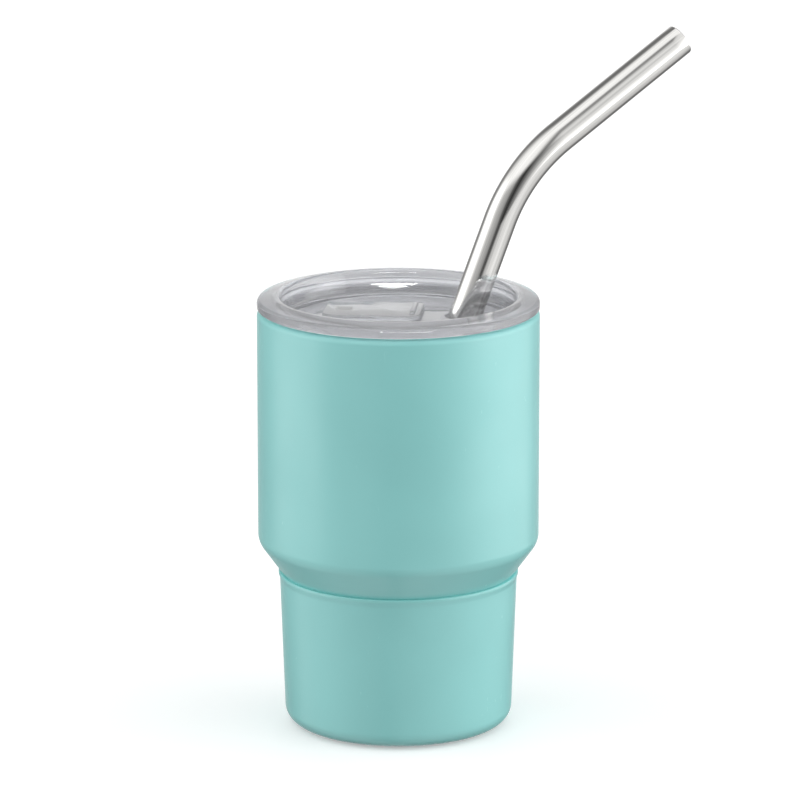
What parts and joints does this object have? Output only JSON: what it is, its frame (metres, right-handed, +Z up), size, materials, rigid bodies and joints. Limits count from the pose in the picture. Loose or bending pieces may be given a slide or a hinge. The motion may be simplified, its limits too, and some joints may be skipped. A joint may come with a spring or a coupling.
{
  "type": "insulated mini tumbler with straw",
  "caption": "Small stepped double-wall steel tumbler with a mint gloss finish, a press-in clear lid with a sliding cover and a bent steel straw.",
  "frame": {"origin": "centre of the foot ring, on the table", "axes": "+Z up along the cup's axis; the straw leans to +X, and its arm points to +X and +Y"},
  "size_m": [0.0799, 0.052, 0.1286],
  "materials": {
    "painted_steel": "gloss",
    "liner_steel": "satin",
    "base_steel": "satin",
    "braze": "dull",
    "getter_powder": "matt pressed powder",
    "silicone": "satin, translucent",
    "lid_plastic": "clear, polished",
    "slider_plastic": "clear, polished",
    "straw_steel": "polished"
  },
  "bodies": {
    "cup": {"upper_shell": "painted_steel", "lower_shell": "painted_steel", "inner_liner": "liner_steel", "vacuum_base": "liner_steel", "seal_bead": "braze", "getter_holder": "liner_steel", "getter_pellet": "getter_powder", "base_cover": "base_steel"},
    "gasket": {"lid_gasket": "silicone"},
    "lid": {"lid_body": "lid_plastic"},
    "slider": {"slider": "slider_plastic"},
    "straw": {"straw": "straw_steel"}
  },
  "joints": [
    {"name": "lid_lift", "type": "slide", "parent": "cup", "child": "gasket", "axis": [0, 0, 1], "range_m": [0, 0.08]},
    {"name": "lid_turn", "type": "hinge", "parent": "gasket", "child": "lid", "pos_m": [0, 0, 0.0743], "axis": [0, 0, 1], "continuous": true},
    {"name": "slider_slide", "type": "slide", "parent": "lid", "child": "slider", "axis": [0.9945, -0.1045, 0], "range_m": [0, 0.0042]},
    {"name": "straw_lift", "type": "slide", "parent": "lid", "child": "straw", "axis": [0.3303, -0.0347, 0.9432], "range_m": [0, 0.08]}
  ]
}
